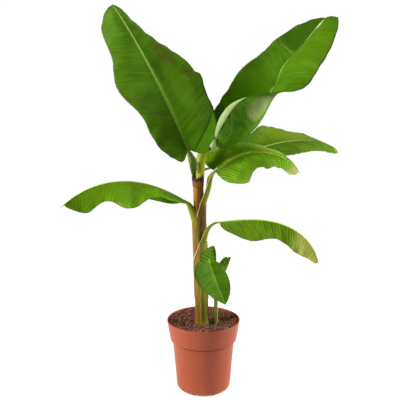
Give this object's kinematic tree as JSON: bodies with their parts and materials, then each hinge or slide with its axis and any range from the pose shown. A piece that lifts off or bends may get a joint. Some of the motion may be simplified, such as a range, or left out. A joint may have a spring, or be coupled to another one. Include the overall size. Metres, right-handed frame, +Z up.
{
  "type": "potted banana plant",
  "caption": "Young banana plant in a round pot: a leaning false stem, long stalked leaves spreading and drooping round it, and a small sucker at its foot.",
  "frame": {"origin": "centre of the pot's flat underside, on the surface the plant stands on", "axes": "+Z up along the pot's axis; -Y is the plant's front; +X is to the right seen from the front"},
  "size_m": [0.8041, 0.6484, 1.0936],
  "materials": {
    "pot_plastic": "terracotta-coloured moulded plastic with a soft sheen",
    "potting_mix": "coarse bark and coir, dry on top",
    "leaf_sheath": "wrapped leaf sheaths, olive to orange-brown, satin",
    "dry_sheath": "torn papery dry sheath, dark brown",
    "leaf_stalk": "fleshy yellow-green stalk, satin",
    "leaf_blade": "leathery deep green leaf with fine cross veins, soft sheen"
  },
  "bodies": {
    "root": {"pot": "pot_plastic", "potting_mix": "potting_mix", "false_stem": "leaf_sheath", "dry_collar": "dry_sheath", "sucker_stem": "leaf_stalk", "stalk_upper_left": "leaf_stalk", "stalk_upper_right": "leaf_stalk", "stalk_right_near": "leaf_stalk", "stalk_right_far": "leaf_stalk", "stalk_left_low": "leaf_stalk", "stalk_right_low": "leaf_stalk", "stalk_sucker_front": "leaf_stalk", "stalk_sucker_top": "leaf_stalk", "stalk_sucker_back": "leaf_stalk", "leaf_upper_left": "leaf_blade", "leaf_upper_right": "leaf_blade", "leaf_right_near": "leaf_blade", "leaf_right_far": "leaf_blade", "leaf_left_low": "leaf_blade", "leaf_right_low": "leaf_blade", "leaf_sucker_front": "leaf_blade", "leaf_sucker_top": "leaf_blade", "leaf_sucker_back": "leaf_blade"}
  },
  "joints": []
}
